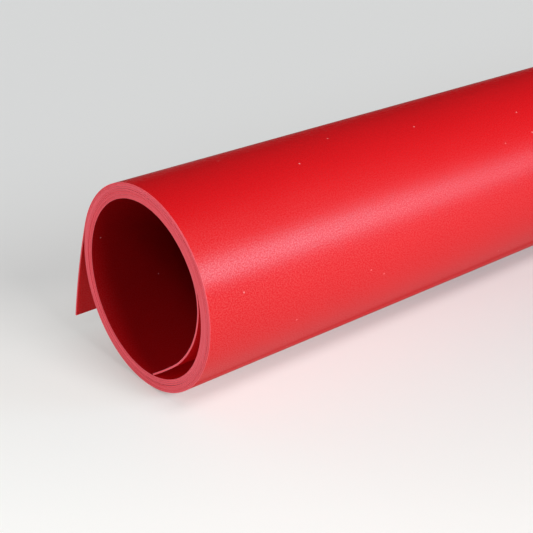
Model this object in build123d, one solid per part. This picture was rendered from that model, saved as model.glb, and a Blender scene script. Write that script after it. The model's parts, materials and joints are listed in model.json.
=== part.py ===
from build123d import *

import math
import os
from collections import namedtuple

# Coreless roll of PVC backdrop sheet, lying on its side: one sheet wound in a spiral.
#
# The roll's axis is X. The origin is on that axis, half way along the roll, and +Z is up.
# A section angle is measured in the YZ plane, from +Y towards +Z, so 90 is the top of the
# roll, 180 its front and 270 the line that it rests on. Every solid is a stretch of the one
# sheet, and the stretches meet edge to edge at the lines where the sheet bends.

# ---------- sheet, in millimetres ----------
SHEET_WIDTH = 1000.0  # the sheet's width is the length of the roll
SHEET_THICKNESS = 0.75
LAYER_GAP = 0.06  # air between one layer and the next
INNER_RADIUS = 37.2  # of the hollow, where the sheet first meets the wall

# ---------- winding, in degrees of section angle ----------
TOP = 90.0
BOTTOM = 270.0
TAIL_START = 150.0  # the inner free end leaves the wall here
FLAP_START = 20.5  # the outer free end leaves the wall here
FULL_TURNS = 6  # from the inner end to the start of the stretch that unrolls
FRONT_STRIPS = 15  # strips of the unrolling stretch, from the bottom to the top
BACK_STRIPS = 6  # and from the top to the flap

# ---------- free ends, in millimetres ----------
FLAP_LENGTH = 50.3
FLAP_RADIUS = 320.0
FLAP_PARTS = 4  # the first part belongs to the last strip, because it lies along the roll
TAIL_LENGTH = 70.0
TAIL_RADII = (27.5, 39.0, 49.0, 200.0)  # of each quarter of the tail, from the wall to its tip

PITCH = SHEET_THICKNESS + LAYER_GAP
HALF_THICKNESS = SHEET_THICKNESS / 2

# An arc of the middle of the sheet's thickness. A positive sweep turns from +Y towards +Z.
Arc = namedtuple("Arc", "centre_y centre_z radius start sweep")


def arc_point(arc, fraction, offset=0.0):
    """Point (y, z) at a fraction of the way along an arc, offset away from the arc's centre."""
    angle = math.radians(arc.start + arc.sweep * fraction)
    radius = arc.radius + offset
    return (arc.centre_y + radius * math.cos(angle), arc.centre_z + radius * math.sin(angle))


def stretch(arc, start, end):
    """The part of an arc between two section angles."""
    return arc._replace(start=start, sweep=end - start)


def split(arc, count):
    """The arc cut into equal parts."""
    step = arc.sweep / count
    return [arc._replace(start=arc.start + step * i, sweep=step) for i in range(count)]


def carry_on(point, angle, radius, length):
    """Arc of a given length that leaves a point square to the radius at that angle.

    A negative length runs with a falling section angle.
    """
    centre_y = point[0] - radius * math.cos(math.radians(angle))
    centre_z = point[1] - radius * math.sin(math.radians(angle))
    return Arc(centre_y, centre_z, radius, angle, math.degrees(length / radius))


def half_turn(index):
    """Half turn of the winding, counted from the inner end: even ones are at the front.

    Front and back arcs have centres half a pitch apart, one above the other, so that each
    half turn starts where the last one ends, with no kink, and the gap between layers is even.
    """
    at_front = index % 2 == 0
    centre_z = PITCH / 4 if at_front else -PITCH / 4
    start = BOTTOM if at_front else TOP
    radius = INNER_RADIUS + HALF_THICKNESS + index * PITCH / 2
    return Arc(0.0, centre_z, radius, start, -180.0)


def turn_arcs(turn):
    """Arcs of one full turn, from the bottom round to the bottom, turn 1 being the innermost."""
    arcs = [half_turn(2 * turn), half_turn(2 * turn + 1)]
    if turn == 1:
        first = stretch(half_turn(0), TAIL_START, TOP)
        arcs = [first, half_turn(1)] + arcs
    return arcs


def strip_arcs():
    """Arcs of each strip of the outermost turn, from the bottom, over the top, to the flap."""
    front = half_turn(2 * FULL_TURNS + 2)
    back = stretch(half_turn(2 * FULL_TURNS + 3), TOP, FLAP_START)
    return split(front, FRONT_STRIPS) + split(back, BACK_STRIPS)


def flap_arcs():
    """Arcs of the parts of the outer free end, from the roll to the sheet's edge."""
    root = strip_arcs()[-1]
    point = arc_point(root, 1.0)
    return split(carry_on(point, FLAP_START, FLAP_RADIUS, -FLAP_LENGTH), FLAP_PARTS)


def tail_arcs():
    """Arcs of the parts of the inner free end, from the wall to the sheet's edge."""
    arcs = []
    point = arc_point(turn_arcs(1)[0], 0.0)
    angle = TAIL_START
    for radius in TAIL_RADII:
        arc = carry_on(point, angle, radius, TAIL_LENGTH / len(TAIL_RADII))
        arcs.append(arc)
        point = arc_point(arc, 1.0)
        angle = arc.start + arc.sweep
    return arcs


def face_edge(arc, offset):
    """Edge along one face of the sheet."""
    return ThreePointArc(*(arc_point(arc, fraction, offset) for fraction in (0.0, 0.5, 1.0)))


def sheet(arcs):
    """Solid stretch of sheet that follows the arcs, across the sheet's whole width."""
    edges = [face_edge(arc, offset) for arc in arcs for offset in (HALF_THICKNESS, -HALF_THICKNESS)]
    for arc, fraction in ((arcs[0], 0.0), (arcs[-1], 1.0)):
        edges.append(
            Line(arc_point(arc, fraction, HALF_THICKNESS), arc_point(arc, fraction, -HALF_THICKNESS))
        )
    section = Plane.YZ * make_face(edges)
    return extrude(section, amount=SHEET_WIDTH / 2, both=True)


def pieces():
    """Every node's arcs, by the node's name."""
    named = {}
    for index, arc in enumerate(tail_arcs(), 1):
        named[f"tail_{index}"] = [arc]
    for turn in range(1, FULL_TURNS + 1):
        named[f"turn_{turn}"] = turn_arcs(turn)
    for index, arc in enumerate(strip_arcs(), 1):
        named[f"unroll_{index:02d}"] = [arc]
    flap = flap_arcs()
    named[f"unroll_{FRONT_STRIPS + BACK_STRIPS}"].append(flap[0])
    for index, arc in enumerate(flap[1:], 1):
        named[f"flap_{index}"] = [arc]
    return named


os.makedirs("parts", exist_ok=True)
for name, arcs in pieces().items():
    solid = sheet(arcs)
    solid.label = name
    export_step(solid, f"parts/{name}.step")
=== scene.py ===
import json
import math
from collections import namedtuple

import bpy
import numpy as np
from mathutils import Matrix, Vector, noise


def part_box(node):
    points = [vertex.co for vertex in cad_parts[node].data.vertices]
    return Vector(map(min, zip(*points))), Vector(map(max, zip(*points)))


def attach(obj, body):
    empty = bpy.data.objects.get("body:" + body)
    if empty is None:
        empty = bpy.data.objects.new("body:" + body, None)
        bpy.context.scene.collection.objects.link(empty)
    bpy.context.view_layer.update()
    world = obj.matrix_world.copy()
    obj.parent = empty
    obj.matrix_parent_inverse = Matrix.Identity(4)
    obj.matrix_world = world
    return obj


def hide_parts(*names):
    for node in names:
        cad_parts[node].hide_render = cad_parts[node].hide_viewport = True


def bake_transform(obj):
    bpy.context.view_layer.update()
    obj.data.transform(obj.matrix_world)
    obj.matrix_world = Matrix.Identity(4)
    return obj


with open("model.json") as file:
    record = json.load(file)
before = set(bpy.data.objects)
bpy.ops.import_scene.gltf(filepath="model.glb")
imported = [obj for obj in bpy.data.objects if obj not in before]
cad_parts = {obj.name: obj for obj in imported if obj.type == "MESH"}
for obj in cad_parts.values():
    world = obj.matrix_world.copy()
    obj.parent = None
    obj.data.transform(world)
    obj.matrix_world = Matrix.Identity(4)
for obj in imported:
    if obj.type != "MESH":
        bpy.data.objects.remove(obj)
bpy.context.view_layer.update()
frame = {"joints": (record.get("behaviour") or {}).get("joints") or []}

# Looks of a coreless roll of red PVC backdrop sheet. Everything is in metres, in the CAD frame:
# the roll's axis is X and +Z is up. The sheet is followed from its inner free end outwards, so a
# distance is measured along the sheet from there. A section angle is measured in the YZ plane
# from +Y towards +Z, and it falls along the sheet.

# ---------- the winding ----------
THICKNESS = 0.00075
HALF = THICKNESS / 2
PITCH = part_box("turn_6")[1].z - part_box("turn_5")[1].z
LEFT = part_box("turn_6")[0].x
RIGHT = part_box("turn_6")[1].x
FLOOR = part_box("turn_6")[0].z
TOP_ANGLE = 90.0
BOTTOM_ANGLE = 270.0
TAIL_START = 150.0  # the inner free end leaves the wall here
FLAP_START = 20.5  # the outer free end leaves the wall here
FULL_TURNS = 6
FRONT_STRIPS = 15
BACK_STRIPS = 6
FLAP_LENGTH = 0.0503
FLAP_RADIUS = 0.32
FLAP_PARTS = 4
TAIL_LENGTH = 0.070
TAIL_RADII = (0.0275, 0.039, 0.049, 0.2)  # of each part, from the wall to the tip
FIRST_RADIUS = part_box("turn_6")[1].z - HALF - PITCH / 4 - FULL_TURNS * PITCH
HINGE_TOLERANCE = 0.00001  # between the CAD hinges and the sheet's faces

# ---------- the mesh ----------
ROW_STEP = 0.0011  # along the sheet
EDGE_ROUNDING = 0.00006  # of the cut edges' corners
# of the vertices on a face, in from either end of the roll; there is one more half way along
COLUMNS = (0.0, 0.0006, 0.002, 0.005, 0.011, 0.022, 0.045, 0.08, 0.13, 0.19, 0.26, 0.33, 0.41)
FACE_POINTS = 2 * len(COLUMNS) + 1
CUT_POINTS = 4
AROUND = 2 * (FACE_POINTS + CUT_POINTS)

# ---------- unevenness ----------
SLACK = 0.000015  # of one layer on another, everywhere
SLACK_WAVES = Vector((14.0, 5.0, 0.0))  # per metre along the sheet and across it
SLACK_SEED = Vector((0.0, 0.0, 3.0))
SAG = 0.00013  # of the inner layers, at the bottom right
SAG_ANGLE = math.radians(252.0)
SAG_WIDTH = math.radians(20.0)
SAG_END = 0.85  # distance at which the sagging layers end
SLOW_SHIFT = 0.00022  # of the cut edges out of line, along the roll
SLOW_WAVES = 3.1  # per metre of sheet
FAST_SHIFT = 0.00007
FAST_WAVES = 23.0
SHIFT_REACH = 0.004  # how far in from the ends the shift is felt
LEFT_SEED = 11.0
RIGHT_SEED = 29.0

Arc = namedtuple("Arc", "centre_y centre_z radius start sweep")
Stretch = namedtuple("Stretch", "node begin end")
Row = namedtuple("Row", "distance inset tilt")
OutlinePoint = namedtuple("OutlinePoint", "side run height normal_x normal_out")


# ================================ the sheet's path ================================


def arc_point(arc, fraction):
    """Point (y, z) and section angle, in degrees, a fraction of the way along an arc."""
    angle = arc.start + arc.sweep * fraction
    y = arc.centre_y + arc.radius * math.cos(math.radians(angle))
    z = arc.centre_z + arc.radius * math.sin(math.radians(angle))
    return y, z, angle


def length(arc):
    return arc.radius * math.radians(abs(arc.sweep))


def carry_on(arc, radius, run):
    """Arc of a given radius that leaves another's end with no kink. A negative run has a falling angle."""
    y, z, angle = arc_point(arc, 1.0)
    centre_y = y - radius * math.cos(math.radians(angle))
    centre_z = z - radius * math.sin(math.radians(angle))
    return Arc(centre_y, centre_z, radius, angle, math.degrees(run / radius))


def reverse(arc):
    return arc._replace(start=arc.start + arc.sweep, sweep=-arc.sweep)


def half_turn(index, start=None, end=None):
    """Half turn of the winding, counted from the inner end; even ones are at the front."""
    at_front = index % 2 == 0
    first = BOTTOM_ANGLE if at_front else TOP_ANGLE
    start = first if start is None else start
    end = first - 180.0 if end is None else end
    centre_z = PITCH / 4 if at_front else -PITCH / 4
    return Arc(0.0, centre_z, FIRST_RADIUS + index * PITCH / 2, start, end - start)


def tail_arcs():
    """Parts of the inner free end, from the wall to the tip, with a rising section angle."""
    arcs = [reverse(half_turn(0, TAIL_START, TAIL_START - 1.0))]
    for radius in TAIL_RADII:
        arcs.append(carry_on(arcs[-1], radius, TAIL_LENGTH / len(TAIL_RADII)))
    return arcs[1:]


def strip_arcs():
    """The strips that unroll, from the bottom over the front and the top to the outer free end."""
    front = half_turn(2 * FULL_TURNS + 2)
    back = half_turn(2 * FULL_TURNS + 3, TOP_ANGLE, FLAP_START)
    strips = []
    for arc, count in ((front, FRONT_STRIPS), (back, BACK_STRIPS)):
        share = arc.sweep / count
        strips += [arc._replace(start=arc.start + part * share, sweep=share) for part in range(count)]
    return strips


def named_arcs():
    """(node, arc) for every arc of the sheet, from the inner tip to the outer tip."""
    named = []
    for index, arc in reversed(list(enumerate(tail_arcs(), 1))):
        named.append((f"tail_{index}", reverse(arc)))
    named.append(("turn_1", half_turn(0, TAIL_START, TOP_ANGLE)))
    for index in range(1, 2 * FULL_TURNS + 2):
        named.append((f"turn_{max(index // 2, 1)}", half_turn(index)))
    for index, arc in enumerate(strip_arcs(), 1):
        named.append((f"unroll_{index:02d}", arc))
    last_strip = named[-1][0]
    for part in range(FLAP_PARTS):
        node = last_strip if part == 0 else f"flap_{part}"
        named.append((node, carry_on(named[-1][1], FLAP_RADIUS, -FLAP_LENGTH / FLAP_PARTS)))
    return named


NAMED = named_arcs()
ARC_ENDS = np.cumsum([length(arc) for _, arc in NAMED])
SHEET_LENGTH = float(ARC_ENDS[-1])


def path(distance):
    """Point (y, z) on the middle of the sheet, and its section angle in radians."""
    index = min(int(np.searchsorted(ARC_ENDS, distance)), len(NAMED) - 1)
    arc = NAMED[index][1]
    begin = ARC_ENDS[index] - length(arc)
    y, z, angle = arc_point(arc, (distance - begin) / length(arc))
    return y, z, math.radians(angle)


def stretches():
    """Where each node's stretch of the sheet begins and ends, from the inner tip outwards."""
    found = {}
    for (node, arc), end in zip(NAMED, ARC_ENDS):
        begin = found[node].begin if node in found else float(end) - length(arc)
        found[node] = Stretch(node, begin, float(end))
    return list(found.values())


def check_path():
    """Stops the script if the path strays from the CAD hinges, which lie on the sheet's faces."""
    by_name = {stretch.node: stretch for stretch in stretches()}
    for joint in frame["joints"]:
        if joint["type"] != "hinge":
            continue
        stretch = by_name[joint["child"]]
        distance = stretch.end if joint["child"].startswith("tail") else stretch.begin
        y, z, _ = path(distance)
        gap = math.hypot(joint["pos_m"][1] - y, joint["pos_m"][2] - z)
        if abs(gap - HALF) > HINGE_TOLERANCE:
            raise ValueError(f"{joint['name']} is {gap * 1000:.3f} mm from the path")


# ================================ the sheet's surface ================================


def lift(distance, x, angle):
    """How far the sheet stands off its even winding: a little slack between the layers."""
    slack = SLACK * noise.noise(Vector((distance, x, 0.0)) * SLACK_WAVES + SLACK_SEED)
    turned = (angle - SAG_ANGLE + math.pi) % (2 * math.pi) - math.pi
    if distance < SAG_END:
        slack -= SAG * math.exp(-((turned / SAG_WIDTH) ** 2))
    return slack


def end_shift(distance, seed):
    """How far a cut edge stands out of line with the others, along the roll."""
    slow = noise.noise(Vector((distance * SLOW_WAVES, seed, 0.5)))
    fast = noise.noise(Vector((distance * FAST_WAVES, seed, 7.5)))
    return SLOW_SHIFT * slow + FAST_SHIFT * fast


def outline():
    """The sheet's outline across its width: outer face, right cut edge, inner face, left cut edge.

    A point's x is its side's x plus its run. Its height is measured outwards from mid-thickness.
    """
    runs = [column + EDGE_ROUNDING for column in COLUMNS]
    middle = (RIGHT - LEFT) / 2
    outer = [OutlinePoint(LEFT, run, HALF, 0.0, 1.0) for run in runs + [middle]]
    outer += [OutlinePoint(RIGHT, -run, HALF, 0.0, 1.0) for run in reversed(runs)]
    slant = math.sqrt(0.5)
    flat = HALF - EDGE_ROUNDING
    corner_run = EDGE_ROUNDING * (slant - 1.0)
    corner_height = flat + EDGE_ROUNDING * slant
    right_cut = [
        OutlinePoint(RIGHT, corner_run, corner_height, slant, slant),
        OutlinePoint(RIGHT, 0.0, flat, 1.0, 0.0),
        OutlinePoint(RIGHT, 0.0, -flat, 1.0, 0.0),
        OutlinePoint(RIGHT, corner_run, -corner_height, slant, -slant),
    ]
    inner = [point._replace(height=-HALF, normal_out=-1.0) for point in reversed(outer)]
    left_cut = []
    for point in reversed(right_cut):
        left_cut.append(point._replace(side=LEFT, run=-point.run, normal_x=-point.normal_x))
    return outer + right_cut + inner + left_cut


OUTLINE = outline()


def rows_between(begin, end):
    """The rows of a piece's vertices. The sheet's own tips get rounded edges."""
    count = max(2, math.ceil((end - begin) / ROW_STEP))
    rows = [Row(begin + (end - begin) * i / count, 0.0, 0.0) for i in range(count + 1)]
    turns = (45.0, 90.0)
    if begin == 0.0:
        rows[0] = Row(EDGE_ROUNDING, 0.0, 0.0)
        rows = [tip_row(0.0, -1.0, turn) for turn in reversed(turns)] + rows
    if end == SHEET_LENGTH:
        rows[-1] = Row(SHEET_LENGTH - EDGE_ROUNDING, 0.0, 0.0)
        rows += [tip_row(SHEET_LENGTH, 1.0, turn) for turn in turns]
    return rows


def tip_row(tip, direction, turn):
    """Row on the rounded corner of the sheet's tip, after turning so many degrees round it."""
    angle = math.radians(turn)
    back = EDGE_ROUNDING * (1.0 - math.sin(angle))
    inset = EDGE_ROUNDING * (1.0 - math.cos(angle))
    return Row(tip - direction * back, inset, direction * angle)


def row_points(row):
    """Positions and normals of one row of a piece's vertices."""
    y, z, angle = path(row.distance)
    outward = np.array((0.0, math.cos(angle), math.sin(angle)))
    ahead = np.array((0.0, math.sin(angle), -math.cos(angle)))
    shifts = {LEFT: -end_shift(row.distance, LEFT_SEED), RIGHT: end_shift(row.distance, RIGHT_SEED)}
    places = []
    normals = []
    for point in OUTLINE:
        x = point.side + point.run + shifts[point.side] * math.exp(-abs(point.run) / SHIFT_REACH)
        height = point.height - math.copysign(row.inset, point.height)
        places.append(np.array((x, y, z)) + outward * (height + lift(row.distance, x, angle)))
        normal = np.array((point.normal_x, 0.0, 0.0)) + outward * point.normal_out * math.cos(row.tilt)
        normal += ahead * math.sin(row.tilt)
        normals.append(normal / np.linalg.norm(normal))
    return places, normals


def is_cut(index):
    """Whether the side of the outline from this point to the next lies on a cut edge."""
    return index % (FACE_POINTS + CUT_POINTS) >= FACE_POINTS - 1


def side_faces(rows):
    """Faces from row to row, and whether each lies on a cut edge."""
    faces = []
    cut = []
    for i in range(len(rows) - 1):
        on_tip = rows[i].tilt != 0.0 or rows[i + 1].tilt != 0.0
        this, after = i * AROUND, (i + 1) * AROUND
        for j in range(AROUND):
            k = (j + 1) % AROUND
            faces.append((this + j, this + k, after + k, after + j))
            cut.append(is_cut(j) or on_tip)
    return faces, cut


def cap_faces(first, way):
    """Faces that close a piece at one of its rows."""
    opposite = first + AROUND // 2 + FACE_POINTS - 1
    faces = [(first + j, first + j + 1, opposite - j - 1, opposite - j) for j in range(FACE_POINTS - 1)]
    faces.append(tuple(range(first + FACE_POINTS - 1, first + FACE_POINTS + CUT_POINTS + 1)))
    faces.append(tuple(range(first + AROUND - CUT_POINTS - 1, first + AROUND)) + (first,))
    if way < 0.0:
        return faces
    return [tuple(reversed(face)) for face in faces]


def cap_normal(row, way):
    angle = path(row.distance)[2]
    return np.array((0.0, math.sin(angle), -math.cos(angle))) * way


def add_object(name, data):
    added = bpy.data.objects.new(name, data)
    bpy.context.scene.collection.objects.link(added)
    return added


def sheet_piece(name, begin, end, materials):
    """Closed mesh of the sheet from one distance to another."""
    rows = rows_between(begin, end)
    places = []
    normals = []
    for row in rows:
        row_places, row_normals = row_points(row)
        places += row_places
        normals += row_normals
    faces, cut = side_faces(rows)
    corner_normals = [normals[vertex] for face in faces for vertex in face]
    for index, way in ((0, -1.0), (len(rows) - 1, 1.0)):
        caps = cap_faces(index * AROUND, way)
        faces += caps
        cut += [True] * len(caps)
        corner_normals += [cap_normal(rows[index], way)] * sum(len(face) for face in caps)
    mesh = bpy.data.meshes.new(name)
    mesh.from_pydata([tuple(place) for place in places], [], faces)
    for material in materials:
        mesh.materials.append(material)
    mesh.polygons.foreach_set("material_index", [int(on_cut) for on_cut in cut])
    mesh.polygons.foreach_set("use_smooth", [True] * len(faces))
    crease_caps(mesh, len(rows))
    add_coordinates(mesh, places, rows)
    mesh.normals_split_custom_set([tuple(normal) for normal in corner_normals])
    return add_object(name, mesh)


def crease_caps(mesh, row_count):
    """Makes a sharp edge all round each closed end, so that its shading stays out of the sheet's."""
    pairs = np.zeros(2 * len(mesh.edges), np.int32)
    mesh.edges.foreach_get("vertices", pairs)
    rows = pairs.reshape(-1, 2) // AROUND
    on_end = (rows[:, 0] == rows[:, 1]) & np.isin(rows[:, 0], (0, row_count - 1))
    sharp = mesh.attributes.new("sharp_edge", "BOOLEAN", "EDGE")
    sharp.data.foreach_set("value", on_end)


def add_coordinates(mesh, places, rows):
    """UV maps in metres: (x, distance) for the faces and (height, distance) for the cut edges."""
    distance = np.repeat([row.distance for row in rows], AROUND)
    x = np.array([place[0] for place in places])
    height = np.array([point.height for point in OUTLINE] * len(rows))
    corners = np.zeros(len(mesh.loops), np.int32)
    mesh.loops.foreach_get("vertex_index", corners)
    for name, across in (("sheet", x), ("edge", height)):
        uv = np.stack((across, distance), 1)[corners]
        mesh.uv_layers.new(name=name).data.foreach_set("uv", uv.astype(np.float32).ravel())


# ================================ shader nodes ================================


def new_material(name):
    material = bpy.data.materials.new(name)
    material.use_nodes = True
    return material, material.node_tree, material.node_tree.nodes["Principled BSDF"].inputs


def feed(tree, target, value):
    """Links an output to an input, or sets the input to a plain value."""
    if isinstance(value, bpy.types.NodeSocket):
        tree.links.new(value, target)
    else:
        target.default_value = value


def uv_map(tree, name):
    node = tree.nodes.new("ShaderNodeUVMap")
    node.uv_map = name
    return node.outputs["UV"]


def parts_of(tree, vector):
    node = tree.nodes.new("ShaderNodeSeparateXYZ")
    feed(tree, node.inputs["Vector"], vector)
    return node.outputs["X"], node.outputs["Y"]


def noise_at(tree, place, scale, detail):
    node = tree.nodes.new("ShaderNodeTexNoise")
    node.noise_dimensions = "2D"
    node.inputs["Scale"].default_value = scale
    node.inputs["Detail"].default_value = detail
    feed(tree, node.inputs["Vector"], place)
    return node.outputs["Fac"]


def ramp(tree, value, start, end, low, high):
    """Goes from low to high while the value goes from start to end, and stays level beyond."""
    node = tree.nodes.new("ShaderNodeMapRange")
    for name, setting in (("From Min", start), ("From Max", end), ("To Min", low), ("To Max", high)):
        node.inputs[name].default_value = setting
    feed(tree, node.inputs["Value"], value)
    return node.outputs["Result"]


def contrast(tree, cloud, low, high):
    """Spreads a noise, which stays near a half, from low to high."""
    return ramp(tree, cloud, 0.3, 0.7, low, high)


def mix(tree, share, first, second, kind="MIX"):
    node = tree.nodes.new("ShaderNodeMixRGB")
    node.blend_type = kind
    feed(tree, node.inputs["Fac"], share)
    feed(tree, node.inputs["Color1"], first)
    feed(tree, node.inputs["Color2"], second)
    return node.outputs["Color"]


def maths(tree, operation, *values):
    node = tree.nodes.new("ShaderNodeMath")
    node.operation = operation
    for target, value in zip(node.inputs, values):
        feed(tree, target, value)
    return node.outputs["Value"]


def bump(tree, height, depth, before=None):
    node = tree.nodes.new("ShaderNodeBump")
    node.inputs["Distance"].default_value = depth
    feed(tree, node.inputs["Height"], height)
    if before is not None:
        feed(tree, node.inputs["Normal"], before)
    return node.outputs["Normal"]


def in_view(tree, as_light, as_seen):
    """One value for the light that a surface sends out, and another for how it looks."""
    node = tree.nodes.new("ShaderNodeLightPath")
    return ramp(tree, node.outputs["Is Camera Ray"], 0.0, 1.0, as_light, as_seen)


# ================================ materials ================================

DEEP_RED = (0.490, 0.0036, 0.0060, 1.0)
BRIGHT_RED = (0.540, 0.0050, 0.0080, 1.0)
DUST = (0.90, 0.45, 0.45, 1.0)
CUT_RED = (0.70, 0.018, 0.032, 1.0)
CUT_PINK = (0.84, 0.090, 0.125, 1.0)
WORN_CORNER = (0.92, 0.20, 0.25, 1.0)
WALL_GLOW = 0.12
TAIL_GLOW = 0.15
GLOW_FADES = 0.055  # from an end of the roll
FULL_GLOW = 0.015


def on_first_turn(angle):
    """Distance at which the innermost turn passes a section angle, which falls below 0 past +Y."""
    return TAIL_LENGTH + FIRST_RADIUS * math.radians(TAIL_START - angle)


def sheet_face_material():
    """Matte red PVC with a fine embossed grain. The inner face shines less, with painted shade in the hollow
    and painted light towards the outer free end.
    """
    material, tree, shader = new_material("red_pvc_face")
    place = uv_map(tree, "sheet")
    height, distance = parts_of(tree, uv_map(tree, "edge"))
    inner = ramp(tree, height, HALF, -HALF, 0.0, 1.0)
    cloud = noise_at(tree, place, scale=9.0, detail=4.0)
    grain = noise_at(tree, place, scale=1700.0, detail=1.0)
    pebble = noise_at(tree, place, scale=420.0, detail=2.0)
    colour = mix(tree, cloud, DEEP_RED, BRIGHT_RED)
    # painted shade in the hollow and painted light towards the outer free end, on the inner face
    colour = paint_inner_face_shade_and_light(tree, colour, inner, distance)
    feed(tree, shader["Base Color"], add_dust(tree, colour, place))
    feed(tree, shader["Emission Color"], BRIGHT_RED)
    feed(tree, shader["Emission Strength"], bounced_light(tree, inner, place, distance))
    feed(tree, shader["Roughness"], contrast(tree, cloud, 0.31, 0.37))
    feed(tree, shader["Specular IOR Level"], face_shine(tree, grain, inner))
    fine = bump(tree, grain, depth=0.00004)
    feed(tree, shader["Normal"], bump(tree, pebble, depth=0.000012, before=fine))
    material.cycles.emission_sampling = "NONE"
    return material


def paint_inner_face_shade_and_light(tree, colour, inner, distance):
    """Painted shade and light on the inner face: painted shade, darkest at the back of the hollow, and
    painted light, palest at the outer free end.
    """
    # painted shade: the inner face darkens into the hollow
    hollow_painted_shade = ramp(tree, distance, on_first_turn(13.0), on_first_turn(-124.0), 0.56, 0.92)
    # painted light: the inner face pales towards the outer free end
    outer_painted_light = ramp(tree, distance, 0.3, 1.9, 0.0, 0.43)
    return mix(tree, inner, colour, maths(tree, "ADD", hollow_painted_shade, outer_painted_light), "MULTIPLY")


def bounced_light(tree, inner, place, distance):
    """Stands in for the light that is thrown to and fro at the mouths of the hollow and the pocket."""
    off_middle = maths(tree, "ABSOLUTE", parts_of(tree, place)[0])
    at_mouth = ramp(tree, off_middle, RIGHT - GLOW_FADES, RIGHT - FULL_GLOW, 0.0, 1.0)
    begins = ramp(tree, distance, on_first_turn(-18.0), on_first_turn(-140.0), 0.0, WALL_GLOW)
    stops = ramp(tree, distance, on_first_turn(-200.0), on_first_turn(-209.0), 1.0, 0.0)
    wall = maths(tree, "MULTIPLY", begins, stops)
    tail = ramp(tree, distance, TAIL_LENGTH - 0.004, TAIL_LENGTH, TAIL_GLOW, 0.0)
    on_inner = maths(tree, "MULTIPLY", wall, inner)
    on_outer = maths(tree, "MULTIPLY", tail, maths(tree, "SUBTRACT", 1.0, inner))
    return maths(tree, "MULTIPLY", maths(tree, "ADD", on_inner, on_outer), at_mouth)


def add_dust(tree, colour, place):
    """Sparse pale specks, under a millimetre across."""
    specks = tree.nodes.new("ShaderNodeTexVoronoi")
    specks.voronoi_dimensions = "2D"
    specks.inputs["Scale"].default_value = 22.0
    feed(tree, specks.inputs["Vector"], place)
    share = ramp(tree, specks.outputs["Distance"], 0.010, 0.004, 0.0, 0.5)
    return mix(tree, share, colour, DUST)


def face_shine(tree, grain, inner):
    """Sheen that sparkles with the grain, fades at a glancing view and is weaker inside."""
    glancing = tree.nodes.new("ShaderNodeLayerWeight")
    fade = ramp(tree, glancing.outputs["Facing"], 0.25, 0.80, 1.0, 0.02)
    sparkle = maths(tree, "MULTIPLY", contrast(tree, grain, 0.21, 0.78), fade)
    return maths(tree, "MULTIPLY", sparkle, ramp(tree, inner, 0.0, 1.0, 1.0, 0.4))


def cut_edge_material():
    """Knife-cut edge of the PVC: pinkish, paler at its worn corners, with faint drag lines."""
    material, tree, shader = new_material("red_pvc_cut_edge")
    place = uv_map(tree, "edge")
    off_middle = maths(tree, "ABSOLUTE", parts_of(tree, place)[0])
    along = tree.nodes.new("ShaderNodeMapping")
    along.inputs["Scale"].default_value = (0.0, 1.0, 1.0)
    feed(tree, along.inputs["Vector"], place)
    cloud = noise_at(tree, along.outputs["Vector"], scale=9.0, detail=6.0)
    colour = mix(tree, contrast(tree, cloud, 0.0, 1.0), CUT_RED, CUT_PINK)
    worn = ramp(tree, off_middle, HALF - 2.5 * EDGE_ROUNDING, HALF - 0.5 * EDGE_ROUNDING, 0.0, 0.6)
    feed(tree, shader["Base Color"], mix(tree, worn, colour, WORN_CORNER))
    drag = noise_at(tree, place, scale=5000.0, detail=2.0)
    feed(tree, shader["Roughness"], contrast(tree, drag, 0.45, 0.7))
    feed(tree, shader["Normal"], bump(tree, drag, depth=0.000015))
    return material


# ================================ the pieces ================================


def blend_windows(parts):
    """(first node, second node, begin, end) of each stretch that lies between two bodies.

    Over a hinge such a stretch runs from the middle of one stretch to the middle of the next. Where
    turns slip along the roll, it takes the half turn at the back.
    """
    windows = []
    covered = 0.0
    for first, second in zip(parts, parts[1:]):
        if first.node.startswith("turn") and second.node.startswith("turn"):
            begin = first.end - length(half_turn(2 * int(first.node[-1]) + 1))
            end = first.end
        else:
            shorter = min(first.end - first.begin, second.end - second.begin)
            begin = first.end - shorter / 2
            end = first.end + shorter / 2
        if begin - covered < ROW_STEP:
            begin = covered  # no room for a piece of its own before this window
        windows.append((first.node, second.node, begin, end))
        covered = end
    return windows


def build_sheet():
    """The whole sheet as pieces: some ride on one body, and those that lie between two bodies are left
    unattached.
    """
    materials = (sheet_face_material(), cut_edge_material())
    parts = stretches()
    covered = 0.0
    replaced = set()
    for first, second, begin, end in blend_windows(parts):
        if begin > covered:
            piece = sheet_piece(f"sheet_{first}", covered, begin, materials)
            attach(piece, first)
            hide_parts(first)
            replaced.add(first)
        piece = sheet_piece(f"sheet_{first}_to_{second}", begin, end, materials)
        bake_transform(piece)
        stands_for = first if first not in replaced else second
        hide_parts(stands_for)
        replaced.add(stands_for)
        covered = end
    last = parts[-1].node
    piece = sheet_piece(f"sheet_{last}", covered, SHEET_LENGTH, materials)
    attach(piece, last)
    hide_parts(last)


# ================================ the stage ================================

OUTER_RADIUS = 0.0438
CAMERA_PLACE = (-5.274, -7.993, 4.705)  # in outer radii, from the middle of the left end
CAMERA_LOOK = (0.5835, 0.6918, -0.4255)
CAMERA_LENS = 78.9

FLOOR_SIZE = 6.0
VIEW_WAY = (0.6448, 0.7644, 0.0)  # along the floor, away from the camera
BACK_WAY = (0.0, 1.0, 0.0)
NEAR_FLOOR = (0.96, 0.935, 0.905, 1.0)  # the floor's brightness where no shadow falls
FAR_FLOOR = (0.675, 0.675, 0.67, 1.0)
FRONT_FLOOR = (0.62, 0.60, 0.59, 1.0)  # the floor's own colour, before and behind the roll
BACK_FLOOR = (0.20, 0.20, 0.20, 1.0)
LIGHT_ON_FLOOR = (1.02, 1.02, 1.02, 1.0)  # of all lamps together, where no shadow falls

WHITE = (1.0, 1.0, 1.0)
COOL = (0.35, 0.80, 1.0)
SURROUNDINGS = (0.96, 0.98, 1.0, 1.0)


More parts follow.
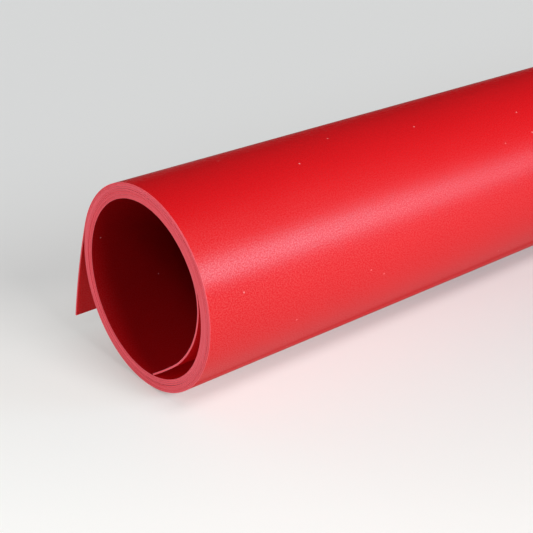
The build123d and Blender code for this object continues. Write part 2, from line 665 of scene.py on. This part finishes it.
def build_floor():
    mesh = bpy.data.meshes.new("floor")
    ways = ((-1, -1), (1, -1), (1, 1), (-1, 1))
    mesh.from_pydata([(x * FLOOR_SIZE, y * FLOOR_SIZE, FLOOR) for x, y in ways], [], [(0, 1, 2, 3)])
    mesh.materials.append(floor_material())
    add_object("floor", mesh)


def floor_material():
    """Plain pale floor. It glows to keep its shadows faint, so its colour is only part of its brightness."""
    material, tree, shader = new_material("pale_floor")
    brightness = floor_colour(tree, VIEW_WAY, -0.42, -0.22, NEAR_FLOOR, FAR_FLOOR)
    colour = floor_colour(tree, BACK_WAY, -0.02, 0.06, FRONT_FLOOR, BACK_FLOOR)
    lit = mix(tree, 1.0, colour, LIGHT_ON_FLOOR, "MULTIPLY")
    feed(tree, shader["Base Color"], colour)
    feed(tree, shader["Emission Color"], mix(tree, 1.0, brightness, lit, "SUBTRACT"))
    feed(tree, shader["Emission Strength"], in_view(tree, 0.75, 1.0))
    feed(tree, shader["Roughness"], 0.9)
    feed(tree, shader["Specular IOR Level"], 0.1)
    return material


def floor_colour(tree, way, start, end, first, second):
    """Goes from one colour to another between two places on a line along the floor."""
    place = tree.nodes.new("ShaderNodeNewGeometry")
    along = tree.nodes.new("ShaderNodeVectorMath")
    along.operation = "DOT_PRODUCT"
    along.inputs[1].default_value = way
    feed(tree, along.inputs[0], place.outputs["Position"])
    return mix(tree, ramp(tree, along.outputs["Value"], start, end, 0.0, 1.0), first, second)


def distant_light(name, direction, angle, power, colour=WHITE, shines=True):
    """Even, soft light from far off; direction points from the roll to the light."""
    light = bpy.data.lights.new(name, "SUN")
    light.angle = math.radians(angle)
    light.energy = power * math.pi
    light.color = colour
    lamp = add_object(name, light)
    lamp.rotation_mode = "QUATERNION"
    lamp.rotation_quaternion = Vector(direction).to_track_quat("Z", "Y")
    lamp.visible_glossy = shines


def build_lights():
    """Powers are the brightness that a white surface square to the light would have."""
    distant_light("front_softbox", (0.08, -0.88, 0.47), 26.0, 1.00)
    distant_light("low_softbox", (0.61, -0.72, 0.31), 18.0, 0.27, COOL)
    distant_light("top_softbox", (0.10, -0.50, 0.86), 20.0, 0.35)
    distant_light("side_softbox", (-0.52, -0.50, 0.69), 16.0, 0.14)
    distant_light("end_softbox", (-0.995, 0.0, 0.06), 10.0, 0.35, shines=False)
    distant_light("back_softbox", (-0.25, 0.96, 0.08), 50.0, 0.25)


def build_surroundings():
    """Dim all round, but pale to the camera."""
    world = bpy.data.worlds.new("studio")
    world.use_nodes = True
    background = world.node_tree.nodes["Background"].inputs
    feed(world.node_tree, background["Color"], SURROUNDINGS)
    feed(world.node_tree, background["Strength"], in_view(world.node_tree, 0.045, 0.70))
    bpy.context.scene.world = world
    bpy.context.scene.view_settings.view_transform = "Standard"


def build_camera():
    camera = add_object("camera", bpy.data.cameras.new("camera"))
    camera.location = Vector((LEFT, 0.0, 0.0)) + Vector(CAMERA_PLACE) * OUTER_RADIUS
    camera.rotation_mode = "QUATERNION"
    camera.rotation_quaternion = Vector(CAMERA_LOOK).to_track_quat("-Z", "Y")
    camera.data.lens = CAMERA_LENS
    camera.data.clip_start = 0.01
    bpy.context.scene.camera = camera


check_path()
build_sheet()
build_floor()
build_lights()
build_surroundings()
build_camera()
